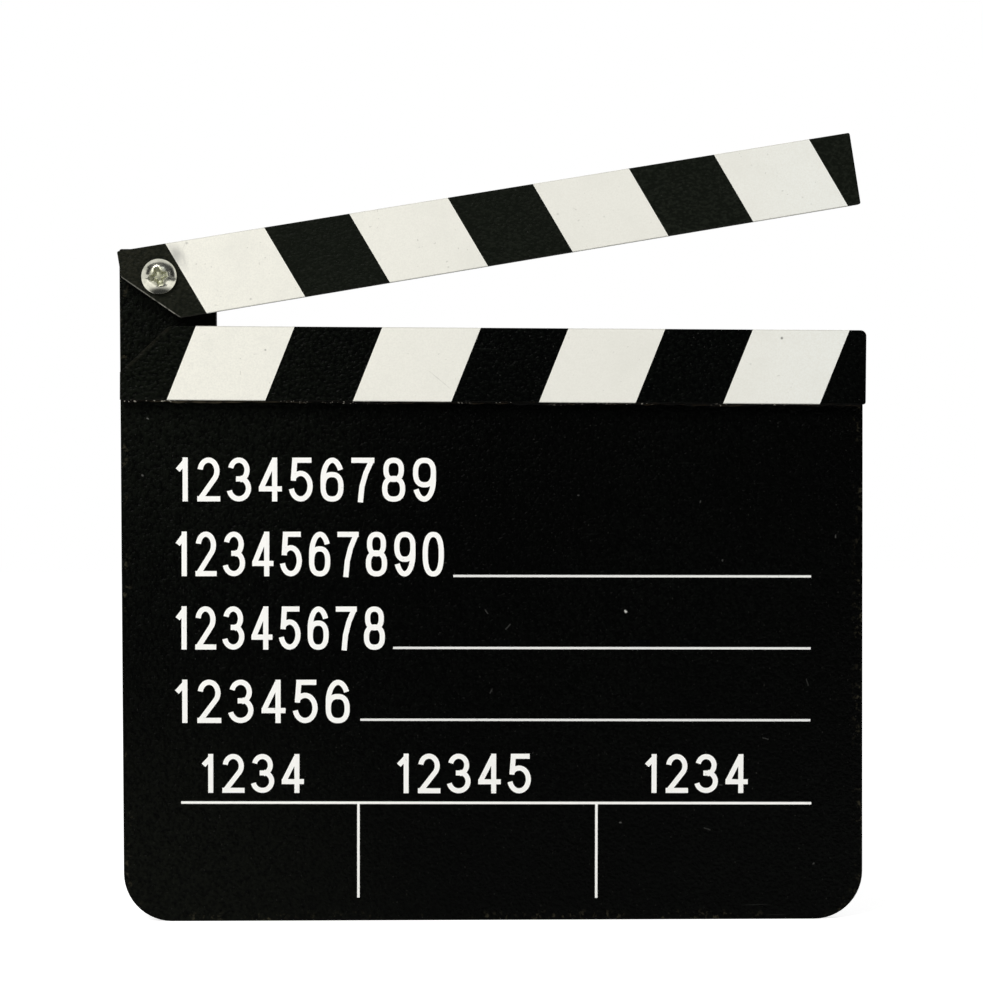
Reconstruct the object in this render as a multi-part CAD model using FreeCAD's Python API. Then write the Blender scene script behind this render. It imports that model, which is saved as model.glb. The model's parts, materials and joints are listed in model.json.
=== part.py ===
import FreeCAD, Part
import math
import os

# Film clapperboard: a painted slate with a hinge tab, one clapstick glued along its top and
# one that swings on a single screw through the tab. Sizes are in millimetres.
# X runs along the sticks, the printed front faces -Y and Z is up. The origin is the middle
# of the slate's bottom edge, half way through its thickness.

# Slate
board_width = 200.0
slate_height = 160.3           # bottom edge to the top of the fixed stick, at its middle
shoulder_drop = 1.3            # slate stops this far below the fixed stick's top
board_thickness = 4.0
bottom_corner_radius = 13.1
shoulder_radius = 1.5
tab_width = 25.9
tab_above_pivot = 7.5
tab_corner_radius = 0.6
edge_ease = 0.2                # rounding along every sawn edge

# Clapsticks
stick_thickness = 5.0
fixed_width = 19.9
fixed_offset = 0.4             # stick glued on this far right of the slate's middle
fixed_tilt = 0.55              # degrees it was glued on askew, left end high
fixed_heel_length = 13.1       # heel cut, along the stick
fixed_heel_depth = 12.5        # heel cut, across the stick
fixed_heel_radius = 3.0
fixed_top_radius = 1.6
fixed_bottom_radius = 0.7
swing_heel_width = 20.25       # stick tapers from its heel to its tip
swing_tip_width = 19.25
swing_end_from_pivot = 10.1    # to the stick's left end
swing_tip_setback = 0.55       # tip short of the slate's right edge with the stick level
swing_heel_length = 13.8
swing_heel_depth = 13.2
swing_heel_radius = 0.8
swing_corner_radius = 0.5
rest_opening = 9.0             # degrees above level at rest

# Pivot
pivot_from_left = 11.2
pivot_above_slate = 14.0       # above the fixed stick's top
pivot_below_top = 8.45         # below the swinging stick's top edge
running_clearance = 0.05       # between turning faces and round the screw
hole_clearance = 0.15          # round the screw where nothing turns
thread_clearance = 0.05        # between the screw and the nut

# Pivot screw, pan head with a cross recess
screw_diameter = 5.0
head_diameter = 9.6
head_height = 3.0
head_rim = 0.8                 # straight side below the shoulder curve
head_shoulder_radius = 0.5
shoulder_share = 0.7           # most of the crown's height that the shoulder curve may take
recess_span = 5.6
recess_slot = 1.8
recess_floor_span = 2.2
recess_floor_slot = 1.0
recess_depth = 1.5
recess_lead = 0.2              # cutter's start above the crown
recess_turn = 14.0             # degrees
thread_protrusion = 2.1        # screw end beyond the nut
tip_chamfer = 0.6

# Washers
washer_diameter = 10.0
spacer_thickness = 0.8
washer_thickness = 1.0

# Self-locking nut
nut_across_flats = 8.0
nut_hex_height = 3.4
nut_corner_cut = 30.0          # degrees
nut_face_margin = 0.15         # bearing circle inside the flats
collar_diameter = 7.6
collar_height = 1.6
collar_round = 0.5
insert_diameter = 6.6
insert_thickness = 1.2
collar_lip_diameter = 6.0

# Print: white stripes on the sticks, white rules on the slate
ink_thickness = 0.1
stripe_lean = 7.8              # sideways run over the fixed stick's width
fixed_stripe_widths = (26.43, 26.38, 25.92, 25.92)     # along the stick, with even gaps between
fixed_first_margin = 16.45     # from the stick's left end to its first stripe, at mid width
fixed_last_margin = 8.45       # from its last stripe to its right end
swing_stripe_widths = (26.78, 26.63, 26.0, 25.69)
swing_first_margin = 17.0
swing_last_margin = 7.15
print_tilt = 0.27              # degrees the slate's print was laid on askew, left end high
rule_width = 0.62
rule_margin = 14.35            # from the slate's right edge
rule_lengths = (96.6, 112.85, 121.7)
rule_top_height = 93.4
rule_pitch = 19.48
grid_line_width = 0.68
grid_bar_height = 31.9
grid_left_margin = 15.5
grid_right_margin = 14.0
first_column_width = 47.95
last_column_width = 58.15
grid_bottom_margin = 6.1

flat_tolerance = 1e-6

# Places that follow from the sizes
left_edge = -board_width / 2
right_edge = board_width / 2
board_front = -board_thickness / 2
board_back = board_thickness / 2
fixed_front = board_front - stick_thickness
fixed_left = left_edge + fixed_offset
fixed_right = right_edge + fixed_offset
fixed_middle = slate_height - fixed_width / 2
pivot_x = left_edge + pivot_from_left
pivot_z = slate_height + pivot_above_slate
swing_left = pivot_x - swing_end_from_pivot
swing_right = right_edge - swing_tip_setback
swing_top = pivot_z + pivot_below_top
swing_middle = swing_top - (swing_heel_width + swing_tip_width) / 4
swing_back = board_front - spacer_thickness - running_clearance
swing_front = swing_back - stick_thickness
head_seat = swing_front - running_clearance
nut_seat = board_back + washer_thickness
nut_height = nut_hex_height + collar_height
screw_tip = nut_seat + nut_height + thread_protrusion
pivot_point = FreeCAD.Vector(pivot_x, 0, pivot_z)
glue_point = FreeCAD.Vector(fixed_offset, 0, fixed_middle)
print_point = FreeCAD.Vector(0, 0, 0)
pivot_axis = FreeCAD.Vector(0, 1, 0)
opening_axis = FreeCAD.Vector(0, -1, 0)


def bend(before, corner, after, radius):
    """Points where a rounded corner starts, is half way and ends."""
    back = (before - corner).normalize()
    ahead = (after - corner).normalize()
    half_angle = back.getAngle(ahead) / 2
    inward = (back + ahead).normalize()
    setback = radius / math.tan(half_angle)
    middle = corner + inward * (radius / math.sin(half_angle) - radius)
    return corner + back * setback, middle, corner + ahead * setback


def outline(corners, depth):
    """Closed wire at one depth through corners given as (x, z, radius)."""
    points = [FreeCAD.Vector(x, depth, z) for x, z, radius in corners]
    bends = []
    for index, corner in enumerate(corners):
        following = points[(index + 1) % len(points)]
        bends.append(bend(points[index - 1], points[index], following, corner[2]))
    edges = []
    for index, (start, middle, end) in enumerate(bends):
        edges.append(Part.LineSegment(bends[index - 1][2], start).toShape())
        if corners[index][2] > 0:
            edges.append(Part.Arc(start, middle, end).toShape())
    return Part.Wire(edges)


def slab(corners, front, back):
    """Solid between two depths with the outline of the corners."""
    face = Part.Face(outline(corners, front))
    return face.extrude(FreeCAD.Vector(0, back - front, 0))


def is_level(shape):
    """Whether an edge or face lies at one depth."""
    return shape.BoundBox.YLength < flat_tolerance


def eased_slab(corners, front, back):
    """Slab with its front and back rims rounded as sanded wood is."""
    solid = slab(corners, front, back)
    rims = [edge for edge in solid.Edges if is_level(edge)]
    return solid.makeFillet(edge_ease, rims)


def rod(diameter, front, back):
    """Cylinder on the pivot axis between two depths."""
    start = FreeCAD.Vector(pivot_x, front, pivot_z)
    return Part.makeCylinder(diameter / 2, back - front, start, pivot_axis)


def turned(edges):
    """Solid of revolution about the pivot axis from the edges of a half section."""
    face = Part.Face(Part.Wire(edges))
    return face.revolve(pivot_point, pivot_axis, 360)


def section_point(radius, depth):
    """Point of a half section, given by its radius from the pivot axis and its depth."""
    return FreeCAD.Vector(pivot_x + radius, depth, pivot_z)


def section_lines(points):
    """Straight edges through section points given as (radius, depth)."""
    places = [section_point(radius, depth) for radius, depth in points]
    pairs = zip(places, places[1:])
    return [Part.LineSegment(start, end).toShape() for start, end in pairs]


def opened(shape):
    """Shape of the swinging stick's body, turned from level to its rest opening."""
    return shape.rotated(pivot_point, opening_axis, rest_opening)


def glued(shape):
    """Shape on the fixed stick, turned from level as the stick was glued on."""
    return shape.rotated(glue_point, pivot_axis, fixed_tilt)


def laid(shape):
    """Shape of the slate's print, turned from level as the print was laid on."""
    return shape.rotated(print_point, pivot_axis, print_tilt)


def make_slate_board():
    top = slate_height - shoulder_drop
    tab_right = left_edge + tab_width
    tab_top = pivot_z + tab_above_pivot
    corners = [
        (left_edge, 0, bottom_corner_radius),
        (right_edge, 0, bottom_corner_radius),
        (right_edge, top, shoulder_radius),
        (tab_right, top, shoulder_radius),
        (tab_right, tab_top, tab_corner_radius),
        (left_edge, tab_top, tab_corner_radius),
    ]
    board = eased_slab(corners, board_front, board_back)
    hole = screw_diameter + 2 * hole_clearance
    return board.cut(rod(hole, board_front, board_back))


def make_level_fixed_clapstick():
    bottom = slate_height - fixed_width
    corners = [
        (fixed_left, bottom, 0),
        (fixed_right, bottom, fixed_bottom_radius),
        (fixed_right, slate_height, fixed_top_radius),
        (fixed_left + fixed_heel_length, slate_height, fixed_heel_radius),
        (fixed_left, slate_height - fixed_heel_depth, 0),
    ]
    return eased_slab(corners, fixed_front, board_front)


def make_level_swing_clapstick():
    heel_bottom = swing_top - swing_heel_width
    tip_bottom = swing_top - swing_tip_width
    corners = [
        (swing_left + swing_heel_length, heel_bottom, swing_heel_radius),
        (swing_right, tip_bottom, swing_corner_radius),
        (swing_right, swing_top, swing_corner_radius),
        (swing_left, swing_top, swing_corner_radius),
        (swing_left, heel_bottom + swing_heel_depth, 0),
    ]
    stick = eased_slab(corners, swing_front, swing_back)
    bore = screw_diameter + 2 * running_clearance
    return stick.cut(rod(bore, swing_front, swing_back))


def make_stripes(stick, front, middle, first_left, last_right, widths, lean):
    """White films on a level stick's flat front face, evenly spaced from the first to the last."""
    faces = [face for face in stick.Faces if is_level(face)]
    front_face = min(faces, key=lambda face: face.BoundBox.YMin)
    ink = front_face.extrude(FreeCAD.Vector(0, -ink_thickness, 0))
    gap = (last_right - first_left - sum(widths)) / (len(widths) - 1)
    films = []
    left = first_left
    for width in widths:
        right = left + width
        corners = [
            (left - lean, middle - fixed_width, 0),
            (right - lean, middle - fixed_width, 0),
            (right + lean, middle + fixed_width, 0),
            (left + lean, middle + fixed_width, 0),
        ]
        films.append(ink.common(slab(corners, front - ink_thickness, front)))
        left = right + gap
    return films


def make_print_bar(left, right, bottom, top):
    """Straight printed line on the slate's front."""
    corners = [(left, bottom, 0), (right, bottom, 0), (right, top, 0), (left, top, 0)]
    return laid(slab(corners, board_front - ink_thickness, board_front))


def make_rule_lines():
    right = right_edge - rule_margin
    lines = []
    for index, length in enumerate(rule_lengths):
        bottom = rule_top_height - index * rule_pitch - rule_width / 2
        lines.append(make_print_bar(right - length, right, bottom, bottom + rule_width))
    return lines


def make_grid():
    """Long bar under the column headings, and the two dividers that hang from it."""
    left = left_edge + grid_left_margin
    right = right_edge - grid_right_margin
    bottom = grid_bar_height - grid_line_width / 2
    bar = make_print_bar(left, right, bottom, bottom + grid_line_width)
    dividers = []
    for middle in (left + first_column_width, right - last_column_width):
        divider_left = middle - grid_line_width / 2
        divider_right = divider_left + grid_line_width
        divider = make_print_bar(divider_left, divider_right, grid_bottom_margin, bottom)
        dividers.append(divider)
    return bar, dividers


def cross_wire(span, slot, depth):
    """Closed cross about the pivot axis: four equal wings of one span and slot width."""
    points = []
    for quarter in range(4):
        turn = math.radians(recess_turn + 90 * quarter)
        for along, across in ((span, -slot), (span, slot), (slot, slot)):
            x = (along * math.cos(turn) - across * math.sin(turn)) / 2
            z = (along * math.sin(turn) + across * math.cos(turn)) / 2
            points.append(FreeCAD.Vector(pivot_x + x, depth, pivot_z + z))
    return Part.makePolygon(points + points[:1])


def make_screw_head():
    """Pan head: straight rim, shoulder arc and a crown arc that runs on from it."""
    radius = head_diameter / 2
    crown_height = head_height - head_rim
    shoulder = min(head_shoulder_radius, shoulder_share * crown_height)
    reach = radius - shoulder
    crown = (reach ** 2 + crown_height ** 2 - shoulder ** 2) / (2 * (crown_height - shoulder))
    lean = math.asin(reach / (crown - shoulder))
    rim_depth = head_seat - head_rim
    top_depth = head_seat - head_height
    crown_centre = top_depth + crown
    shoulder_half = (math.pi / 2 + lean) / 2

    def crown_point(angle):
        return section_point(crown * math.sin(angle), crown_centre - crown * math.cos(angle))

    shoulder_middle = section_point(
        reach + shoulder * math.sin(shoulder_half), rim_depth - shoulder * math.cos(shoulder_half)
    )
    rim_end = section_point(radius, rim_depth)
    edges = section_lines([(0, top_depth), (0, head_seat), (radius, head_seat), (radius, rim_depth)])
    edges.append(Part.Arc(rim_end, shoulder_middle, crown_point(lean)).toShape())
    edges.append(Part.Arc(crown_point(lean), crown_point(lean / 2), crown_point(0)).toShape())
    floor_depth = top_depth + recess_depth
    mouth = cross_wire(recess_span, recess_slot, top_depth - recess_lead)
    floor = cross_wire(recess_floor_span, recess_floor_slot, floor_depth)
    recess = Part.makeLoft([mouth, floor], True, True)
    return turned(edges).cut(recess)


def make_pivot_screw():
    shank = rod(screw_diameter, head_seat, screw_tip)
    ends = [edge for edge in shank.Edges if is_level(edge)]
    tip_rim = max(ends, key=lambda edge: edge.BoundBox.YMax)
    return make_screw_head().fuse(shank.makeChamfer(tip_chamfer, [tip_rim])).removeSplitter()


def make_washer(front, back):
    hole = rod(screw_diameter + 2 * hole_clearance, front, back)
    return rod(washer_diameter, front, back).cut(hole)


def make_lock_nut():
    """Hexagon with cut corners and a round collar, hollowed for the insert."""
    flat_radius = nut_across_flats / 2
    corner_radius = flat_radius / math.cos(math.pi / 6)
    face_radius = flat_radius - nut_face_margin
    cut_height = (corner_radius - face_radius) * math.tan(math.radians(nut_corner_cut))
    hex_end = nut_seat + nut_hex_height
    nut_end = nut_seat + nut_height
    collar_radius = collar_diameter / 2

    corners = []
    for sixth in range(6):
        turn = math.radians(60 * sixth)
        x = pivot_x + corner_radius * math.cos(turn)
        z = pivot_z + corner_radius * math.sin(turn)
        corners.append((x, z, 0))
    corner_cuts = turned(section_lines([
        (0, nut_seat),
        (face_radius, nut_seat),
        (corner_radius, nut_seat + cut_height),
        (corner_radius, hex_end - cut_height),
        (face_radius, hex_end),
        (0, hex_end),
        (0, nut_seat),
    ]))
    hexagon = slab(corners, nut_seat, hex_end).common(corner_cuts)

    collar = rod(collar_diameter, hex_end, nut_end)
    collar_rims = [edge for edge in collar.Edges if is_level(edge)]
    outer_rim = max(collar_rims, key=lambda edge: edge.BoundBox.YMax)
    rounding = min(collar_round, collar_radius - collar_lip_diameter / 2)
    collar = collar.makeFillet(rounding, [outer_rim])

    bore = rod(screw_diameter + 2 * thread_clearance, nut_seat, nut_end)
    pocket = rod(insert_diameter, hex_end, hex_end + insert_thickness)
    mouth = rod(collar_lip_diameter, hex_end, nut_end)
    return hexagon.fuse(collar).removeSplitter().cut(bore).cut(pocket).cut(mouth)


def make_lock_nut_insert():
    front = nut_seat + nut_hex_height
    back = front + insert_thickness
    bore = rod(screw_diameter + 2 * thread_clearance, front, back)
    return rod(insert_diameter, front, back).cut(bore)


def numbered(name, shapes):
    """Nodes for repeated pieces, counted from one."""
    return {f"{name}_{count}": shape for count, shape in enumerate(shapes, 1)}


def make_parts():
    fixed_stick = make_level_fixed_clapstick()
    swing_stick = make_level_swing_clapstick()
    fixed_films = make_stripes(
        fixed_stick, fixed_front, fixed_middle,
        fixed_left + fixed_first_margin, fixed_right - fixed_last_margin,
        fixed_stripe_widths, stripe_lean,
    )
    swing_films = make_stripes(
        swing_stick, swing_front, swing_middle,
        swing_left + swing_first_margin, swing_right - swing_last_margin,
        swing_stripe_widths, -stripe_lean,
    )
    bar, dividers = make_grid()

    parts = {
        "slate_board": make_slate_board(),
        "fixed_clapstick": glued(fixed_stick),
        "swing_clapstick": opened(swing_stick),
        "pivot_screw": make_pivot_screw(),
        "pivot_spacer_washer": make_washer(board_front - spacer_thickness, board_front),
        "rear_washer": make_washer(board_back, nut_seat),
        "lock_nut": make_lock_nut(),
        "lock_nut_insert": make_lock_nut_insert(),
        "grid_bar": bar,
    }
    parts.update(numbered("grid_divider", dividers))
    parts.update(numbered("rule_line", make_rule_lines()))
    parts.update(numbered("fixed_stripe", [glued(film) for film in fixed_films]))
    parts.update(numbered("swing_stripe", [opened(film) for film in swing_films]))
    return parts


os.makedirs("parts", exist_ok=True)
for node, shape in make_parts().items():
    shape.exportStep(f"parts/{node}.step")
    print(node, len(shape.Solids), "solid", round(shape.Volume, 2), "mm3", shape.isValid())
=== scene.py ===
import json
import math
import bpy
import numpy as np
from mathutils import Matrix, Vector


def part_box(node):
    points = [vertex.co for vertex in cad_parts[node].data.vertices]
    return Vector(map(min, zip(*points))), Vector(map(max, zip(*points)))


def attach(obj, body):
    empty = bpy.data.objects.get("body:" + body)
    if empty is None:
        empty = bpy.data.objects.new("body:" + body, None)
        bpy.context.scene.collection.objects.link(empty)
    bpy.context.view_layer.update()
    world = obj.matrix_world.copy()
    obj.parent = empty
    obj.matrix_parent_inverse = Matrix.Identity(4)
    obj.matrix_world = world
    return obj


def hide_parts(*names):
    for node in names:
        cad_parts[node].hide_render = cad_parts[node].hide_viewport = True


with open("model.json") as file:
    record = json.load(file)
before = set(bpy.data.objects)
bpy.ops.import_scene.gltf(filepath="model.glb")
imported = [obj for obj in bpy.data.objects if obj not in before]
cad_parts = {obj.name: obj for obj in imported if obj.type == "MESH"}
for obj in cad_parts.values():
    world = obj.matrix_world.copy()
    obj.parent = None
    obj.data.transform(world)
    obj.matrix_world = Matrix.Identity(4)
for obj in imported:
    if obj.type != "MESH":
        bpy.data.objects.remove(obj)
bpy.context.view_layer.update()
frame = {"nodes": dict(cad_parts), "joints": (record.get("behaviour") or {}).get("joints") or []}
cadNodes = frame["nodes"]
pivotX, _, pivotZ = frame["joints"][0]["pos_m"]
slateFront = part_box("slate_board")[0].y
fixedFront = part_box("fixed_clapstick")[0].y
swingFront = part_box("swing_clapstick")[0].y
print("frame loaded:", len(cadNodes), "nodes")

mm = 0.001
fixedMiddle = (0.4 * mm, 0, 150.35 * mm)  # middle of the fixed stick
mixFactor, mixUnder, mixOver, mixResult = 0, 6, 7, 2  # sockets of a colour mix


# shader helpers: nodes and links, sums, smooth steps, noise, colour mixes, distances and bumps

def feed(tree, socket, value):
    if isinstance(value, bpy.types.NodeSocket):
        tree.links.new(value, socket)
    else:
        socket.default_value = value


def add(tree, kind, sockets=None, **settings):
    node = tree.nodes.new("ShaderNode" + kind)
    for key, value in settings.items():
        setattr(node, key, value)
    for key, value in (sockets or {}).items():
        feed(tree, node.inputs[key], value)
    return node


def calc(tree, operation, first, second=0.0, clamp=False):
    return add(tree, "Math", {0: first, 1: second}, operation=operation, use_clamp=clamp).outputs[0]


def times(tree, first, second):
    return calc(tree, "MULTIPLY", first, second)


def plus(tree, first, second, clamp=False):
    return calc(tree, "ADD", first, second, clamp)


def hypotenuse(tree, one, other):
    return calc(tree, "SQRT", plus(tree, times(tree, one, one), times(tree, other, other)))


def step(tree, value, low, high):  # 0 below low, 1 above high, smooth between; low may be the larger
    sockets = {"Value": value, "From Min": low, "From Max": high}
    return add(tree, "MapRange", sockets, interpolation_type="SMOOTHSTEP").outputs[0]


def noise(tree, vector, scale, detail=2.0, roughness=0.5):
    sockets = {"Vector": vector, "Scale": scale, "Detail": detail, "Roughness": roughness}
    return add(tree, "TexNoise", sockets).outputs[0]


def stretched(tree, vector, scale, turn=(0, 0, 0)):
    sockets = {"Vector": vector, "Scale": scale, "Rotation": [math.radians(a) for a in turn]}
    return add(tree, "Mapping", sockets).outputs[0]


def patches(tree, vector, scale, detail, roughness, low, high):  # noise cut to spots between two levels
    return step(tree, noise(tree, vector, scale, detail, roughness), low, high)


def hairLines(tree, vector, draw, turn, detail, low, high):  # noise drawn out on a slant and cut
    return step(tree, noise(tree, stretched(tree, vector, draw, turn), 1.0, detail), low, high)


def mixColour(tree, factor, under, over):
    node = add(tree, "Mix", data_type="RGBA")
    feed(tree, node.inputs[mixFactor], factor)
    for place, colour in ((mixUnder, under), (mixOver, over)):
        feed(tree, node.inputs[place], colour if isinstance(colour, bpy.types.NodeSocket) else (*colour, 1))
    return node.outputs[mixResult]


def along(tree, vector, direction, origin):  # distance from origin along a direction
    reach = add(tree, "VectorMath", {0: vector, 1: direction}, operation="DOT_PRODUCT").outputs["Value"]
    return calc(tree, "SUBTRACT", reach, float(np.dot(origin, direction)))


def distance(tree, vector, place):
    return add(tree, "VectorMath", {0: vector, 1: place}, operation="DISTANCE").outputs["Value"]


def bump(tree, height, depth, strength=1.0, under=None):
    node = add(tree, "Bump", {"Height": height, "Distance": depth, "Strength": strength})
    if under is not None:
        feed(tree, node.inputs["Normal"], under)
    return node.outputs[0]


def startFinish(name):
    material = bpy.data.materials.new(name)
    material.use_nodes = True
    tree = material.node_tree
    return material, tree, tree.nodes["Principled BSDF"], add(tree, "TexCoord").outputs["Object"]


def flatFacing(tree):  # 1 on the flat front and back
    normal = add(tree, "TexCoord").outputs["Normal"]
    return calc(tree, "ABSOLUTE", add(tree, "SeparateXYZ", {0: normal}).outputs["Y"])


# black paint, shared by slate and sticks: grain with its tops painted lighter as painted sheen, patches of
# painted sheen, hair scratches, motes, and edges rubbed to the brown board. In all finishes spots are a
# noise's scale, detail and roughness and the two levels it is cut at, hairs are a draw, a turn in degrees, a
# detail and two levels, and names in Tops are two levels alone
blackPaint = {
    "grainNoise": 0.45, "grainTops": (0.42, 0.68), "sheenTops": (0.15, 0.8), "cloud": (14, 3, 0.5, 0.2, 0.75),
    "scratch": ((60, 60, 2600), (0, 38, 0), 1, 0.73, 0.78), "scratchPatch": (22, 1, 0.5, 0.56, 0.7),
    "scratchTone": (0.02, 0.021, 0.019),
    "edgeTops": (0.985, 0.7), "rub": (420, 4, 0.65), "rubSpan": 0.12, "brown": (0.06, 0.036, 0.019),
    "mote": (1900, 0, 0.5, 0.80, 0.86), "dust": (0.11, 0.11, 0.10),
    # roughness gained on the grain and on edges, and the fine grain's scale and depth as shares of the coarse
    "grainRough": 0.16, "edgeRough": 0.18, "peelStrength": 0.9,
    "fineScale": 4.5, "fineDetail": 2, "fineDepth": 0.14, "fineStrength": 0.5,
}


def paintedSheen(tree, spot, peel, colour, film):  # painted sheen: a lighter black that thins out from its middle, stronger on the tops of the grain
    near = step(tree, distance(tree, spot, film["at"]), film["reach"], 0.0)
    return mixColour(tree, times(tree, near, step(tree, peel, *blackPaint["sheenTops"])), colour, film["tone"])


def blackLayer(tree, spot, flatness, look):
    drawn = stretched(tree, spot, look["draw"])
    peel = noise(tree, drawn, look["grain"], look["detail"], blackPaint["grainNoise"])
    # the grain's tops are painted lighter in clouds: painted sheen on the pebbles
    grainSheen = times(tree, step(tree, peel, *blackPaint["grainTops"]), patches(tree, spot, *blackPaint["cloud"]))
    colour = mixColour(tree, grainSheen, look["deep"], look["light"])
    # patches of painted sheen
    for film in look["films"]:
        colour = paintedSheen(tree, spot, peel, colour, film)
    scratch = hairLines(tree, spot, *blackPaint["scratch"])
    scratch = times(tree, scratch, patches(tree, spot, *blackPaint["scratchPatch"]))
    colour = mixColour(tree, times(tree, scratch, look["scratches"]), colour, blackPaint["scratchTone"])
    # rubbed edges and sawn sides: brown board in spots
    edge = step(tree, flatness, *blackPaint["edgeTops"])
    rubTops = look["rubFrom"], look["rubFrom"] + blackPaint["rubSpan"]
    worn = times(tree, edge, patches(tree, spot, *blackPaint["rub"], *rubTops))
    colour = mixColour(tree, times(tree, worn, look["rub"]), colour, blackPaint["brown"])
    dust = times(tree, patches(tree, spot, *blackPaint["mote"]), look["dusty"])
    return mixColour(tree, dust, colour, blackPaint["dust"]), peel, edge


def finishBlack(tree, shader, spot, colour, peel, edge, look):
    fine = noise(tree, spot, look["grain"] * blackPaint["fineScale"], blackPaint["fineDetail"])
    rough = plus(tree, times(tree, peel, blackPaint["grainRough"]), look["rough"])
    rough = plus(tree, rough, times(tree, edge, blackPaint["edgeRough"]), clamp=True)
    feed(tree, shader.inputs["Base Color"], colour)
    feed(tree, shader.inputs["Roughness"], rough)
    shader.inputs["Specular IOR Level"].default_value = look["shine"]
    coarse = bump(tree, peel, look["peel"], blackPaint["peelStrength"])
    fineDepth = look["peel"] * blackPaint["fineDepth"]
    feed(tree, shader.inputs["Normal"], bump(tree, fine, fineDepth, blackPaint["fineStrength"], coarse))


# slate: one painted fibreboard sheet
slateLook = {
    "grain": 1200, "draw": (1, 1, 1), "detail": 1.0, "peel": 0.36 * mm,
    "deep": (0.0002, 0.0003, 0.0002), "light": (0.0012, 0.0016, 0.0012),
    "rough": 0.28, "shine": 0.03, "rubFrom": 0.55, "rub": 0.6, "dusty": 0.2, "scratches": 0.5,
    "films": [  # painted sheen, lighter black where more light falls: by the hinge and in the lower corner under it
        {"at": (-0.1, 0, 0.155), "reach": 0.1, "tone": (0.0044, 0.0056, 0.0037)},
        {"at": (-0.1, 0, 0.0), "reach": 0.1, "tone": (0.0040, 0.0047, 0.0031)},
    ],
    # chips along the rim, in millimetres: the slate's half width and lower corners' radius, the chips' reach
    "halfWidth": 100.0, "cornerRadius": 13.1, "chipReach": (3.4, 0.3), "chip": (800, 3, 0.6, 0.56, 0.68),
    "chipPatch": (60, 1, 0.5, 0.4, 0.6), "chipStrength": 0.5, "chipTone": (0.060, 0.054, 0.034),
    # dust on the front: x, z, half length and half width in millimetres, lean in degrees, and strength
    "flecks": [
        (36.0, 83.7, 0.15, 0.35, 130, 1.0), (-92.7, 136.2, 0.15, 0.2, 145, 0.26),
        (34.5, 26.4, 0.2, 0.2, 0, 0.16), (-94.2, 120.9, 0.1, 0.3, 130, 0.14),
        (92.7, 103.8, 0.3, 0.18, 90, 0.1), (86.8, 15.1, 0.15, 0.2, 40, 0.09),
        (23.3, 115.1, 0.12, 0.2, 0, 0.09), (56.2, 113.3, 0.2, 0.16, 75, 0.09),
        (62.2, 97.4, 0.1, 0.22, 85, 0.09),
    ],
    # faint hairs among them, drawn between these limits of the same six values
    "hairs": 10, "hairSeed": 4,
    "hairLimits": [(-96, 96), (4, 122), (0.3, 0.9), (0.14, 0.18), (0, 180), (0.045, 0.08)],
    # a fleck's frayed and soft edge in millimetres, its dense share, and the depth that counts as the front
    "fray": (2600, 2), "frayReach": 0.3, "soft": 0.25, "dense": 0.6, "frontDepth": 1.0,
    "dustTone": (0.55, 0.55, 0.52),
}


def rimGap(tree, parts):  # distance from the rim inside a plate with two rounded lower corners
    radius = slateLook["cornerRadius"] * mm
    beside = calc(tree, "SUBTRACT", calc(tree, "ABSOLUTE", parts["X"]), slateLook["halfWidth"] * mm - radius)
    below = calc(tree, "SUBTRACT", radius, parts["Z"])
    rounding = hypotenuse(tree, calc(tree, "MAXIMUM", beside, 0.0), calc(tree, "MAXIMUM", below, 0.0))
    inner = calc(tree, "MINIMUM", calc(tree, "MAXIMUM", beside, below), 0.0)
    return calc(tree, "SUBTRACT", radius, plus(tree, rounding, inner))


def dustFlecks(tree, spot, parts, colour, look):
    # nearness to a short slanting line, frayed, on the front alone
    fray = times(tree, noise(tree, spot, *look["fray"]), look["frayReach"] * mm)
    onFront = step(tree, parts["Y"], slateFront + look["frontDepth"] * mm, slateFront)
    least, most = np.array(look["hairLimits"]).T
    hairs = np.random.default_rng(look["hairSeed"]).uniform(least, most, (look["hairs"], len(least)))
    for x, z, half, width, lean, strength in look["flecks"] + hairs.tolist():
        place, turn = (x * mm, 0, z * mm), math.radians(lean)
        past = calc(tree, "ABSOLUTE", along(tree, spot, (math.cos(turn), 0, math.sin(turn)), place))
        past = calc(tree, "MAXIMUM", calc(tree, "SUBTRACT", past, half * mm), 0.0)
        gap = hypotenuse(tree, past, along(tree, spot, (-math.sin(turn), 0, math.cos(turn)), place))
        mask = step(tree, plus(tree, gap, fray), (width + look["soft"]) * mm, width * look["dense"] * mm)
        mask = times(tree, mask, times(tree, onFront, strength))
        colour = mixColour(tree, mask, colour, look["dustTone"])
    return colour


def slatePaint():
    material, tree, shader, spot = startFinish("slateBlackPaint")
    colour, peel, edge = blackLayer(tree, spot, flatFacing(tree), slateLook)
    parts = add(tree, "SeparateXYZ", {0: spot}).outputs
    chips = times(tree, patches(tree, spot, *slateLook["chip"]), patches(tree, spot, *slateLook["chipPatch"]))
    outer, inner = slateLook["chipReach"]
    chips = times(tree, chips, step(tree, rimGap(tree, parts), outer * mm, inner * mm))
    colour = mixColour(tree, times(tree, chips, slateLook["chipStrength"]), colour, slateLook["chipTone"])
    colour = dustFlecks(tree, spot, parts, colour, slateLook)
    finishBlack(tree, shader, spot, colour, peel, edge, slateLook)
    return material


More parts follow.
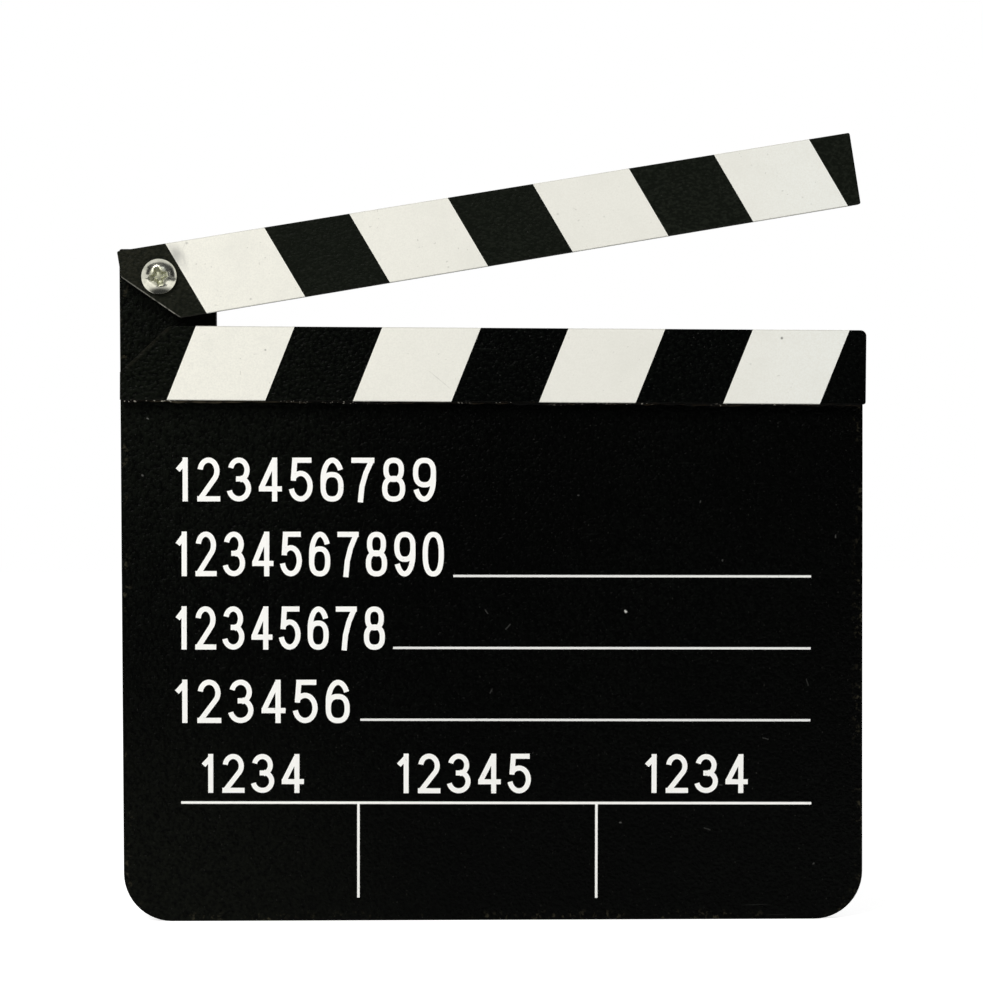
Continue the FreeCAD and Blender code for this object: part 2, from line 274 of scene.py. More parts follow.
# sticks: the same paint on smoother stock; where a stripe meets a rim its white runs over the rim
stickRim = {
    "rimTops": (0.9996, 0.992), "reach": 0.5 * mm, "fade": 0.2 * mm, "whiteSoft": 0.05 * mm, "lowFade": 0.2,
    # the wear tone is the colour of the painted highlight along the lower rim
    "tone": (0.66, 0.66, 0.61), "wear": (0.02, 0.019, 0.017), "broken": (420, 3, 0.5, 0.28, 0.52),
    "heelDense": 0.3, "heelFade": (-8, 9),  # share of the worn line, and millimetres from the heel's end
}
swingLook = {
    "grain": 1700, "draw": (0.65, 1, 1), "detail": 2.0, "peel": 0.24 * mm,
    # the arm's black is the slate's paint set lighter: painted light, for the arm lit more than the slate
    "deep": (0.0050, 0.0064, 0.0043), "light": (0.0113, 0.0136, 0.0095),
    "rough": 0.28, "shine": 0.035, "rubFrom": 0.56, "rub": 0.4, "dusty": 0.2, "scratches": 0.5,
    # painted sheen by the hinge
    "films": [{"at": (-0.097, 0, 0.188), "reach": 0.05, "tone": (0.0185, 0.0185, 0.0122)}],
    # millimetres from the pivot, along and across the stick
    "turn": 9.0, "left": -10.1, "middle": -1.43, "lean": -0.392, "starts": (17.0, 66.81, 116.48, 165.51),
    "widths": (26.78, 26.63, 26.0, 25.69), "heel": ((-10.1, 1.39), (3.7, -11.8)), "heelWear": 1.0,
    "heelWidth": 0.38, "heelColour": (0.24, 0.235, 0.205), "lowRim": -10.4, "lowRimHighlight": 1.0,
}
fixedLook = {
    "grain": 1150, "draw": (0.8, 1, 1), "detail": 1.0, "peel": 0.36 * mm,
    "deep": (0.0002, 0.0004, 0.0003), "light": (0.0016, 0.0023, 0.0016),
    "rough": 0.28, "shine": 0.035, "rubFrom": 0.54, "rub": 0.6, "dusty": 0.2, "scratches": 0.6,
    # painted sheen by the hinge
    "films": [{"at": (-0.1, 0, 0.155), "reach": 0.09, "tone": (0.0050, 0.0064, 0.0039)}],
    # millimetres from the stick's middle
    "turn": -0.55, "left": -100.0, "middle": 0.0, "lean": 0.392, "starts": (16.45, 66.36, 116.23, 165.63),
    "widths": (26.43, 26.38, 25.92, 25.92), "heel": ((-100.0, -2.55), (-86.9, 9.95)), "heelWear": 0.45,
    "heelWidth": 1.3, "heelColour": (0.015, 0.0135, 0.009), "lowRim": -9.5, "lowRimHighlight": 0.2,
}


def heelGap(tree, spot, look, origin, lengthwise, crosswise):  # distance from the line along the heel cut
    start, end = np.array(look["heel"]) * mm
    slope = (end - start) / np.linalg.norm(end - start)
    across = slope[0] * crosswise - slope[1] * lengthwise
    point = np.array(origin) + start[0] * lengthwise + start[1] * crosswise
    return calc(tree, "ABSOLUTE", along(tree, spot, across, point))


def stripeGap(tree, look, run, rise):  # distance outside the nearest stripe, along the stick
    slant = times(tree, calc(tree, "SUBTRACT", rise, look["middle"] * mm), look["lean"])
    phase = calc(tree, "SUBTRACT", run, slant)
    outside = 1.0
    for start, width in zip(look["starts"], look["widths"]):
        centre = (look["left"] + start + width / 2) * mm
        aside = calc(tree, "ABSOLUTE", calc(tree, "SUBTRACT", phase, centre))
        outside = calc(tree, "MINIMUM", calc(tree, "SUBTRACT", aside, width / 2 * mm), outside)
    return outside


def stickPaint(name, look, origin, front):
    material, tree, shader, spot = startFinish(name)
    flatness = flatFacing(tree)
    turn = math.radians(look["turn"])
    lengthwise = np.array((math.cos(turn), 0, math.sin(turn)))
    crosswise = np.array((-math.sin(turn), 0, math.cos(turn)))
    colour, peel, edge = blackLayer(tree, spot, flatness, look)
    run = along(tree, spot, lengthwise, origin)
    rise = along(tree, spot, crosswise, origin)
    # worn line along the heel cut, broken up, fading towards the stick's end
    broken = patches(tree, spot, *stickRim["broken"])
    width = look["heelWidth"] * mm
    gap = heelGap(tree, spot, look, origin, lengthwise, crosswise)
    wear = times(tree, step(tree, gap, width, width * stickRim["heelDense"]), broken)
    fadeStart, fadeEnd = [(look["heel"][0][0] + fade) * mm for fade in stickRim["heelFade"]]
    wear = times(tree, wear, step(tree, run, fadeStart, fadeEnd))
    colour = mixColour(tree, times(tree, wear, look["heelWear"]), colour, look["heelColour"])
    # rim by the front: a painted highlight along the lower edge, white where a stripe meets it
    depth = add(tree, "SeparateXYZ", {0: spot}).outputs["Y"]
    reach = front + stickRim["reach"]
    nearFront = step(tree, depth, reach + stickRim["fade"], reach)
    onRim = times(tree, step(tree, flatness, *stickRim["rimTops"]), nearFront)
    low = step(tree, rise, look["lowRim"] * mm, (look["lowRim"] - stickRim["lowFade"]) * mm)
    lowRimHighlight = times(tree, times(tree, onRim, times(tree, low, broken)), look["lowRimHighlight"])
    colour = mixColour(tree, lowRimHighlight, colour, stickRim["wear"])
    soft = stickRim["whiteSoft"]
    white = times(tree, onRim, step(tree, stripeGap(tree, look, run, rise), soft, -soft))
    colour = mixColour(tree, white, colour, stickRim["tone"])
    finishBlack(tree, shader, spot, colour, peel, edge, look)
    return material


# white printed ink: cream and brighter at the left to grey-white at the right, part tint and part painted
# light falloff, mottled, with specks, a smear, scratches and ticks. First what all inks share, such as where
# their tones pass over, in metres across the slate
inkWork = {
    "toMiddle": (-0.11, 0.03), "toRight": (0.045, 0.1),
    "mottle": (90, 5, 0.65, 0.45, 0.75), "mottleShare": 0.35,
    "grain": (2600, 3), "grainTops": (0.25, 0.8), "grainShare": 0.6,
    "speck": (1300, 0, 0.5, 0.77, 0.83), "speckPatch": (140, 1, 0.5, 0.5, 0.62), "speckShare": 0.3,
    "hair": ((80, 80, 2200), (0, 24, 0), 1, 0.75, 0.8),
    "hairPatch": (35, 1, 0.5, 0.58, 0.7), "hairShare": 0.35,
    "ragged": (500, 3), "fray": 0.4,  # roughens the edges of marks, by this many millimetres
    "streak": ((520, 520, 160), (0, -30, 0), 2, 0.15, 0.6),
    "smearFray": 0.3, "smearTops": (1.2, 0.2), "smearShare": 0.7,
    "scratchSides": (0.4, 0.16), "scratchEnds": (0.1, 0.8), "tickSoft": 0.3, "tickDense": 0.4,
    "grainRough": 0.2, "shine": 0.3, "relief": 0.03 * mm, "reliefStrength": 0.5,
}
stripeInk = {
    # brighter at the left than in the middle: painted light falloff as well as the ink's tint
    "left": (0.875, 0.865, 0.781), "middle": (0.793, 0.790, 0.731), "right": (0.806, 0.821, 0.782),
    "mottle": (0.70, 0.70, 0.645), "grain": (0.72, 0.715, 0.655), "speck": (0.22, 0.21, 0.18),
    "hair": (0.50, 0.51, 0.50), "rough": 0.46,
    # rubbed smear beside the screw: middle, half length and half width in millimetres, and lean from upright
    "smear": (0.33, 0.33, 0.31), "smearAt": (-84.0, 179.5), "smearHalf": (5.2, 3.1), "smearLean": 30.4,
    # dark ticks: x, z, radius in millimetres, and strength
    "tick": (0.06, 0.058, 0.05),
    "ticks": [
        (-81.4, 183.2, 0.45, 0.42), (-64.4, 168.2, 0.42, 0.42), (77.8, 157.3, 0.42, 0.95),
        (-60.6, 154.6, 0.3, 0.75), (17.8, 190.6, 0.34, 0.3), (30.2, 189.9, 0.32, 0.26),
        (73.9, 206.4, 0.32, 0.22), (85.6, 193.1, 0.3, 0.26), (-62.0, 177.8, 0.32, 0.2),
        (69.4, 150.4, 0.36, 0.25), (20.7, 157.6, 0.32, 0.18),
    ],
    # hair scratches: x and z of both ends in millimetres, and strength
    "scratches": [(-17.0, 149.0, -10.8, 143.8, 0.32), (-81.6, 183.7, -82.6, 181.1, 0.2)],
}
slateInk = {  # the slate's own print is whiter, with no marks
    **stripeInk, "left": (0.955, 0.955, 0.925), "middle": (0.955, 0.955, 0.93), "right": (0.96, 0.96, 0.94),
    "mottle": (0.88, 0.88, 0.86), "grain": (0.90, 0.90, 0.88), "ticks": [], "scratches": [],
}
ruleInk = {  # thinner ink, a little greyer
    **slateInk, "left": (0.82, 0.82, 0.80), "middle": (0.80, 0.80, 0.785), "right": (0.80, 0.80, 0.79),
    "mottle": (0.72, 0.72, 0.71), "grain": (0.74, 0.74, 0.73),
}


def inkGround(tree, spot, grain, ink):
    acrossSlate = add(tree, "SeparateXYZ", {0: spot}).outputs["X"]
    colour = mixColour(tree, step(tree, acrossSlate, *inkWork["toMiddle"]), ink["left"], ink["middle"])
    colour = mixColour(tree, step(tree, acrossSlate, *inkWork["toRight"]), colour, ink["right"])
    mottle = times(tree, patches(tree, spot, *inkWork["mottle"]), inkWork["mottleShare"])
    colour = mixColour(tree, mottle, colour, ink["mottle"])
    grainTops = times(tree, step(tree, grain, *inkWork["grainTops"]), inkWork["grainShare"])
    colour = mixColour(tree, grainTops, colour, ink["grain"])
    speck = times(tree, patches(tree, spot, *inkWork["speck"]), patches(tree, spot, *inkWork["speckPatch"]))
    colour = mixColour(tree, times(tree, speck, inkWork["speckShare"]), colour, ink["speck"])
    hair = times(tree, hairLines(tree, spot, *inkWork["hair"]), patches(tree, spot, *inkWork["hairPatch"]))
    return mixColour(tree, times(tree, hair, inkWork["hairShare"]), colour, ink["hair"])


def inkSmear(tree, spot, ragged, colour, ink):
    # an oval that leans with the stripe's edge, dark in its middle
    lean = math.radians(ink["smearLean"])
    middle = (ink["smearAt"][0] * mm, 0, ink["smearAt"][1] * mm)
    halfLength, halfWidth = ink["smearHalf"]
    reach = along(tree, spot, (-math.sin(lean), 0, math.cos(lean)), middle)
    aside = along(tree, spot, (math.cos(lean), 0, math.sin(lean)), middle)
    reach = calc(tree, "DIVIDE", reach, halfLength * mm)
    aside = calc(tree, "DIVIDE", aside, halfWidth * mm)
    oval = hypotenuse(tree, reach, aside)
    rubbed = step(tree, plus(tree, oval, times(tree, ragged, inkWork["smearFray"])), *inkWork["smearTops"])
    smear = times(tree, rubbed, hairLines(tree, spot, *inkWork["streak"]))
    return mixColour(tree, times(tree, smear, inkWork["smearShare"]), colour, ink["smear"])


def inkScratch(tree, spot, fray, colour, ink, x, z, endX, endZ, strength):
    # nearness to a line, frayed and thinning out at both ends
    start, run = np.array((x, 0, z)) * mm, np.array((endX - x, 0, endZ - z)) * mm
    length = np.linalg.norm(run)
    track = along(tree, spot, run / length, start)
    aside = calc(tree, "ABSOLUTE", along(tree, spot, np.array((-run[2], 0, run[0])) / length, start))
    outer, inner = inkWork["scratchSides"]
    hair = times(tree, step(tree, plus(tree, aside, fray), outer * mm, inner * mm), strength)
    full, fading = inkWork["scratchEnds"]
    hair = times(tree, hair, step(tree, track, 0, length * full))
    hair = times(tree, hair, step(tree, track, length, length * fading))
    return mixColour(tree, hair, colour, ink["speck"])


def inkPaint(name, ink):
    material, tree, shader, spot = startFinish(name)
    grain = noise(tree, spot, *inkWork["grain"])
    ragged = noise(tree, spot, *inkWork["ragged"])
    fray = times(tree, ragged, inkWork["fray"] * mm)
    colour = inkSmear(tree, spot, ragged, inkGround(tree, spot, grain, ink), ink)
    for scratch in ink["scratches"]:
        colour = inkScratch(tree, spot, fray, colour, ink, *scratch)
    flatSpot = add(tree, "VectorMath", {0: spot, 1: (1, 0, 1)}, operation="MULTIPLY").outputs[0]
    for x, z, radius, strength in ink["ticks"]:
        gap = plus(tree, distance(tree, flatSpot, (x * mm, 0, z * mm)), fray)
        tick = step(tree, gap, (radius + inkWork["tickSoft"]) * mm, radius * inkWork["tickDense"] * mm)
        colour = mixColour(tree, times(tree, tick, strength), colour, ink["tick"])
    rough = plus(tree, times(tree, grain, inkWork["grainRough"]), ink["rough"])
    feed(tree, shader.inputs["Base Color"], colour)
    feed(tree, shader.inputs["Roughness"], rough)
    shader.inputs["Specular IOR Level"].default_value = inkWork["shine"]
    feed(tree, shader.inputs["Normal"], bump(tree, grain, inkWork["relief"], inkWork["reliefStrength"]))
    return material


# plated steel: bright nickel on the screw, duller zinc on washers and nut
plating = {
    "nickel": {"tone": (0.64, 0.63, 0.535), "dull": (0.46, 0.46, 0.385), "rough": 0.09, "swirl": 900},
    "zinc": {"tone": (0.66, 0.67, 0.68), "dull": (0.40, 0.41, 0.41), "rough": 0.27, "swirl": 600},
    # the recess's darker olive tone is painted shade
    "recess": {"tone": (0.49, 0.495, 0.375), "rough": 0.34, "tops": (0.0, 0.07)},
    # dull patches at a share of the swirl's scale, hairs, the roughness both add, and the swirl's relief
    "patchScale": 0.6, "patchNoise": (3, 0.6), "patchTops": (0.4, 0.75), "patchRough": 0.16,
    "hair": ((500, 500, 9000), (0, 62, 0), 1, 0.66, 0.76), "hairRough": 0.15,
    "swirlDetail": 3, "relief": 0.02 * mm, "reliefStrength": 0.35,
}


def platedSteel(name, look):
    material, tree, shader, spot = startFinish(name)
    patch = noise(tree, spot, look["swirl"] * plating["patchScale"], *plating["patchNoise"])
    colour = mixColour(tree, step(tree, patch, *plating["patchTops"]), look["tone"], look["dull"])
    rough = plus(tree, times(tree, patch, plating["patchRough"]), look["rough"])
    rough = plus(tree, rough, times(tree, hairLines(tree, spot, *plating["hair"]), plating["hairRough"]))
    # the pressed recess is rougher, and painted darker and olive as painted shade; meshes without the
    # attribute read 0
    recess = plating["recess"]
    pressed = step(tree, add(tree, "Attribute", attribute_name="recess").outputs["Fac"], *recess["tops"])
    colour = mixColour(tree, pressed, colour, recess["tone"])
    rough = plus(tree, rough, times(tree, pressed, recess["rough"]), clamp=True)
    feed(tree, shader.inputs["Base Color"], colour)
    feed(tree, shader.inputs["Roughness"], rough)
    shader.inputs["Metallic"].default_value = 1.0
    swirl = noise(tree, spot, look["swirl"], plating["swirlDetail"])
    feed(tree, shader.inputs["Normal"], bump(tree, swirl, plating["relief"], plating["reliefStrength"]))
    return material


# natural nylon of the nut's ring
nylon = {
    "cloud": (900, 3), "pale": (0.72, 0.74, 0.70), "grey": (0.58, 0.61, 0.58), "rough": 0.38,
    "cloudRough": 0.15, "grain": (4000, 2), "relief": 0.02 * mm, "reliefStrength": 0.4,
}


def nylonFinish():
    material, tree, shader, spot = startFinish("naturalNylon")
    cloud = noise(tree, spot, *nylon["cloud"])
    feed(tree, shader.inputs["Base Color"], mixColour(tree, cloud, nylon["pale"], nylon["grey"]))
    rough = plus(tree, times(tree, cloud, nylon["cloudRough"]), nylon["rough"])
    feed(tree, shader.inputs["Roughness"], rough)
    grain = noise(tree, spot, *nylon["grain"])
    feed(tree, shader.inputs["Normal"], bump(tree, grain, nylon["relief"], nylon["reliefStrength"]))
    return material


# glue squeezed out under the fixed stick: darker in the corner by the stick as painted shadow, browner in
# patches, with crumbs on it and one pale clump near the hinge end
glue = {
    "steps": 420, "length": 198.6 * mm, "halfWidth": 9.95 * mm, "size": 0.62 * mm, "arc": 7, "hollow": 0.42,
    "wander": 0.28 * mm, "waves": 9, "leastWave": 0.3, "pace": 4.3, "seed": 5,
    "cloud": (260, 3, 0.6), "dark": (0.0010, 0.0009, 0.0008),
    "brown": (0.022, 0.016, 0.009), "brownTops": (0.46, 0.74), "pale": (0.055, 0.046, 0.030),
    "clumpAt": -72 * mm, "clumpReach": (26 * mm, 10 * mm), "clumpTops": (0.3, 0.6),
    "corner": (0.0012, 0.0012, 0.001), "shadowRise": (-10.35 * mm, -10.15 * mm),
    "crumb": (0.55, 0.52, 0.45), "crumbs": (1700, 1, 0.5, 0.6, 0.68), "crumbPatch": (70, 1, 0.5, 0.48, 0.6),
    "crumbShare": 0.8, "rough": 0.4, "cloudRough": 0.2, "shine": 0.04,
    "grain": (1500, 2), "relief": 0.05 * mm, "reliefStrength": 0.5,
}


def glueFinish():
    material, tree, shader, spot = startFinish("driedGlue")
    cloud = noise(tree, spot, *glue["cloud"])
    colour = mixColour(tree, step(tree, cloud, *glue["brownTops"]), glue["dark"], glue["brown"])
    aside = calc(tree, "ABSOLUTE", along(tree, spot, (1, 0, 0), (glue["clumpAt"], 0, 0)))
    clump = times(tree, step(tree, aside, *glue["clumpReach"]), step(tree, cloud, *glue["clumpTops"]))
    colour = mixColour(tree, clump, colour, glue["pale"])
    turn = math.radians(fixedLook["turn"])
    rise = along(tree, spot, (-math.sin(turn), 0, math.cos(turn)), fixedMiddle)
    # painted shadow: the glue turns darker next to the stick's lower edge
    colour = mixColour(tree, step(tree, rise, *glue["shadowRise"]), colour, glue["corner"])
    crumbs = times(tree, patches(tree, spot, *glue["crumbs"]), patches(tree, spot, *glue["crumbPatch"]))
    colour = mixColour(tree, times(tree, crumbs, glue["crumbShare"]), colour, glue["crumb"])
    rough = plus(tree, times(tree, cloud, glue["cloudRough"]), glue["rough"])
    feed(tree, shader.inputs["Base Color"], colour)
    feed(tree, shader.inputs["Roughness"], rough)
    shader.inputs["Specular IOR Level"].default_value = glue["shine"]
    grain = noise(tree, spot, *glue["grain"])
    feed(tree, shader.inputs["Normal"], bump(tree, grain, glue["relief"], glue["reliefStrength"]))
    return material


stripeFinish = inkPaint("stripeInk", stripeInk)
slatePrint = inkPaint("slateInk", slateInk)
rulePrint = inkPaint("ruleInk", ruleInk)
nickelFinish = platedSteel("nickelPlate", plating["nickel"])
zincFinish = platedSteel("zincPlate", plating["zinc"])
nylonRing = nylonFinish()
finishes = {
    "slate_board": slatePaint(),
    "fixed_clapstick": stickPaint("fixedBlackPaint", fixedLook, fixedMiddle, fixedFront),
    "swing_clapstick": stickPaint("swingBlackPaint", swingLook, (pivotX, 0, pivotZ), swingFront),
    "pivot_screw": nickelFinish,
    **dict.fromkeys(("pivot_spacer_washer", "rear_washer", "lock_nut"), zincFinish),
    "lock_nut_insert": nylonRing,
    **dict.fromkeys(("rule_line_1", "rule_line_2", "rule_line_3"), rulePrint),
    **dict.fromkeys(("grid_bar", "grid_divider_1", "grid_divider_2"), slatePrint),
}
for name, node in cadNodes.items():
    node.data.materials.clear()
    node.data.materials.append(finishes.get(name, stripeFinish))  # the rest are the sticks' stripes
print("finishes made:", len(bpy.data.materials))


# mesh helpers

def newPiece(name, points, faces, finish, body, smooth=True):
    mesh = bpy.data.meshes.new(name)
    mesh.from_pydata(points.tolist(), [], faces)
    mesh.update()
    mesh.polygons.foreach_set("use_smooth", np.full(len(mesh.polygons), smooth))
    mesh.materials.append(finish)
    piece = bpy.data.objects.new(name, mesh)
    bpy.context.scene.collection.objects.link(piece)
    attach(piece, body)
    return piece


def tube(rings, looped=False):
    # rows of points joined round their columns; a looped tube meets its start, an open one ends in fans
    rowCount, columnCount, _ = rings.shape
    index = np.arange(rowCount * columnCount).reshape(rowCount, columnCount)
    rows = np.concatenate([index, index[:1]]) if looped else index
    ahead = np.roll(rows, -1, axis=1)
    quads = np.stack([rows[:-1], ahead[:-1], ahead[1:], rows[1:]], axis=-1).reshape(-1, 4)
    points = np.concatenate([rings.reshape(-1, 3), rings[:1].mean(1), rings[-1:].mean(1)])
    middle = np.full(columnCount, rowCount * columnCount)
    firstFan = np.stack([ahead[0], rows[0], middle], -1)
    lastFan = np.stack([rows[-1], ahead[-1], middle + 1], -1)
    fans = np.concatenate([firstFan, lastFan])
    if looped:
        points, fans = points[:-2], fans[:0]
    corners = points[np.concatenate([quads[:, [0, 1, 2]], quads[:, [0, 2, 3]], fans])]
    volume = np.einsum("ij,ij->i", corners[:, 0], np.cross(corners[:, 1], corners[:, 2])).sum()
    order = 1 if volume > 0 else -1  # faces point outwards
    return points, [face[::order] for face in quads.tolist() + fans.tolist()]


# pivot screw: pan head with a cross recess in front, thread end behind
screwLow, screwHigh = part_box("pivot_screw")
screw = {
    "headHeight": 3.0 * mm, "clearance": 0.05 * mm, "rim": 0.8 * mm, "shoulder": 0.5 * mm,
    "seatRound": 0.15 * mm, "crownStart": 0.012, "crownSteps": 90, "shoulderSteps": 14, "columns": 288,
    # recess: half length and half width of its slots at the crown and the floor, and a hollow in its middle
    "recessSpan": 2.8 * mm, "recessFloor": 1.1 * mm, "slot": 1.3 * mm, "slotFloor": 0.5 * mm, "taper": 0.45,
    "depth": 1.5 * mm, "turn": 14.0, "heart": 1.8 * mm, "heartSlope": 0.8 * mm, "heartShare": 0.8,
    "dulled": 2.9 * mm, "dullFade": 0.6 * mm, "dullShare": 0.045,  # the crown is rougher round the recess too, and takes the recess's painted shade
    "shank": 2.5 * mm, "shankSteps": 12, "threadSteps": 130, "tipChamfer": 0.7 * mm, "tipSlope": 0.8,
    "pitch": 0.8 * mm, "threadDepth": 0.43 * mm, "threadStart": 3.2 * mm, "flank": 1.35, "crest": 0.12,
}


def screwProfile():
    # half section from the crown's middle to the tip: crown and shoulder arcs, rim, seat, shank, chamfer
    seat, tip = swingFront - screw["clearance"], screwHigh.y
    top = seat - screw["headHeight"]
    radius = (screwHigh.x - screwLow.x) / 2
    crownHeight = screw["headHeight"] - screw["rim"]
    shoulder, reach = screw["shoulder"], radius - screw["shoulder"]
    crown = (reach ** 2 + crownHeight ** 2 - shoulder ** 2) / (2 * (crownHeight - shoulder))
    lean = math.asin(reach / (crown - shoulder))
    swing = np.linspace(screw["crownStart"], lean, screw["crownSteps"])
    turn = np.linspace(lean, math.pi / 2, screw["shoulderSteps"])[1:]
    seatRound, shank, threadStart = screw["seatRound"], screw["shank"], screw["threadStart"]
    plain = np.linspace(seat, threadStart, screw["shankSteps"])[1:]
    runs = np.concatenate([plain, np.linspace(threadStart, tip, screw["threadSteps"])[1:]])
    profile = np.concatenate([
        np.stack([crown * np.sin(swing), top + crown * (1 - np.cos(swing))], 1),
        np.stack([reach + shoulder * np.sin(turn), seat - screw["rim"] - shoulder * np.cos(turn)], 1),
        np.array([[radius, seat - seatRound], [radius - seatRound, seat], [shank, seat]]),
        np.stack([np.full(len(runs), shank), runs], 1),
    ])
    chamfer = shank - np.clip(profile[:, 1] - (tip - screw["tipChamfer"]), 0, None) * screw["tipSlope"]
    profile[:, 0] = np.where(profile[:, 1] > seat, np.minimum(profile[:, 0], chamfer), profile[:, 0])
    return profile, seat


def recessWing(lengthways, sideways):  # a slot with sloping ends and walls that narrows outwards
    ends = (screw["recessSpan"] - lengthways) / (screw["recessSpan"] - screw["recessFloor"])
    narrowed = screw["slot"] * (1 - screw["taper"] * lengthways / screw["recessSpan"])
    walls = (narrowed - sideways) / (screw["slot"] - screw["slotFloor"])
    share = np.clip(np.minimum(ends, walls), 0, 1)
    return share * share * (3 - 2 * share)


def screwRings():
    # the profile turned about the pivot; the recess lowers the crown, a slanted wave cuts the thread
    profile, seat = screwProfile()
    angle = np.linspace(0, 2 * math.pi, screw["columns"], endpoint=False)
    radius = profile[:, :1] + 0 * angle
    depth = profile[:, 1:] + 0 * angle
    wingTurn = angle - math.radians(screw["turn"])
    a, b = np.abs(radius * np.cos(wingTurn)), np.abs(radius * np.sin(wingTurn))
    heart = np.clip((screw["heart"] - radius) / screw["heartSlope"], 0, 1) * screw["heartShare"]
    sunk = np.maximum(np.maximum(recessWing(a, b), recessWing(b, a)), heart)
    depth = depth + np.where(depth < seat - screw["rim"], sunk * screw["depth"], 0)
    # thread: a saw wave of depth along the shank that slips one pitch in each turn
    wave = np.abs(2 * np.mod(depth / screw["pitch"] + angle / (2 * math.pi), 1) - 1)
    cut = np.clip(wave * screw["flank"] - screw["crest"], 0, 1) * screw["threadDepth"]
    fade = np.clip((depth - screw["threadStart"]) / screw["pitch"], 0, 1)
    root = screw["shank"] - screw["threadDepth"] * fade
    threaded = np.maximum(np.minimum(radius, screw["shank"] - cut * fade), np.minimum(radius, root))
    radius = np.where(depth > screw["threadStart"], threaded, radius)
    dulled = screw["dullShare"] * np.clip((screw["dulled"] - radius) / screw["dullFade"], 0, 1)
    pressed = np.where(profile[:, 1:] < seat - screw["rim"], np.maximum(sunk, dulled), 0)
    x, z = pivotX + radius * np.cos(angle), pivotZ + radius * np.sin(angle)
    return np.stack([x, depth, z], axis=-1), pressed


rings, pressed = screwRings()
points, faces = tube(rings)
screwPiece = newPiece("pivot_screw_cut", points, faces, nickelFinish, "slate")
recessMark = screwPiece.data.attributes.new("recess", "FLOAT", "POINT")
recessMark.data.foreach_set("value", np.concatenate([pressed.ravel(), [1.0, 0.0]]))  # then both fans' middles
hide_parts("pivot_screw")
print("screw made:", len(faces), "faces")


def glueRings():
    # a hollow fillet whose size wanders: at each step along the stick the inner corner, then a quarter curve
    # from slate to stick
    draw = np.random.default_rng(glue["seed"])
    share = np.linspace(0, 1, glue["steps"])
    wander = sum(draw.uniform(glue["leastWave"], 1) / wave ** 0.5
                 * np.sin(2 * math.pi * (wave * glue["pace"] * share + draw.uniform()))
                 for wave in range(1, glue["waves"] + 1))
    size = glue["size"] + glue["wander"] * wander / np.abs(wander).max()
    sweep = np.linspace(0, math.pi / 2, glue["arc"])
    inward = 1 - glue["hollow"] * np.sin(2 * sweep)  # pulls the middle of the curve towards the corner
    out = np.concatenate([[0.0], inward * np.sin(sweep)])
    down = np.concatenate([[0.0], inward * np.cos(sweep)])
    run = (share[:, None] - 0.5) * glue["length"] + 0 * out
    rise = -glue["halfWidth"] - size[:, None] * down
    turn = math.radians(fixedLook["turn"])
    x = fixedMiddle[0] + run * math.cos(turn) - rise * math.sin(turn)
    z = fixedMiddle[2] + run * math.sin(turn) + rise * math.cos(turn)
    return np.stack([x, slateFront - size[:, None] * out, z], axis=-1)


points, faces = tube(glueRings())
newPiece("glue_line", points, faces, glueFinish(), "slate", smooth=False)
print("glue line made:", len(faces), "faces")


# printed numbers: plain digits drawn with an even stroke, in the places of the slate's headings
digitPrint = {
    "ink": 0.1 * mm, "layer": 0.004 * mm, "tilt": 0.27,
    "gap": 0.34, "slim": 0.62,  # between digits, and the width of a 1, in widths of the others
    "arcSteps": 25, "loopSteps": 56, "loopSquare": 0.82,
    # digits, left, right, bottom, top and stroke in millimetres, before the print's tilt
    "rows": {
        "heading_1": ("123456789", -85.95, -15.65, 113.45, 125.3, 1.4),
        "heading_2": ("1234567890", -86.0, -13.5, 93.25, 105.3, 1.4),
        "heading_3": ("12345678", -86.05, -29.4, 73.4, 85.1, 1.4),
        "heading_4": ("123456", -86.3, -38.9, 53.5, 65.25, 1.4),
        "column_1": ("1234", -79.1, -51.3, 34.55, 45.1, 1.36),
        "column_2": ("12345", -26.3, 10.1, 34.5, 45.25, 1.36),
        "column_3": ("1234", 40.8, 68.8, 34.65, 45.2, 1.36),
    },
}


def line(*corners):
    return np.array(corners, float)


def arc(midX, midY, wide, high, start, stop):  # part of an ellipse, angles in degrees
    turn = np.radians(np.linspace(start, stop, digitPrint["arcSteps"]))
    return np.stack([midX + wide * np.cos(turn), midY + high * np.sin(turn)], 1)


def loop(midX, midY, wide, high):  # closed and a little squarer than an ellipse
    turn = np.linspace(0, 2 * math.pi, digitPrint["loopSteps"], endpoint=False)
    c, s = np.cos(turn), np.sin(turn)
    x = midX + wide * np.sign(c) * np.abs(c) ** digitPrint["loopSquare"]
    y = midY + high * np.sign(s) * np.abs(s) ** digitPrint["loopSquare"]
    return np.stack([x, y], 1)


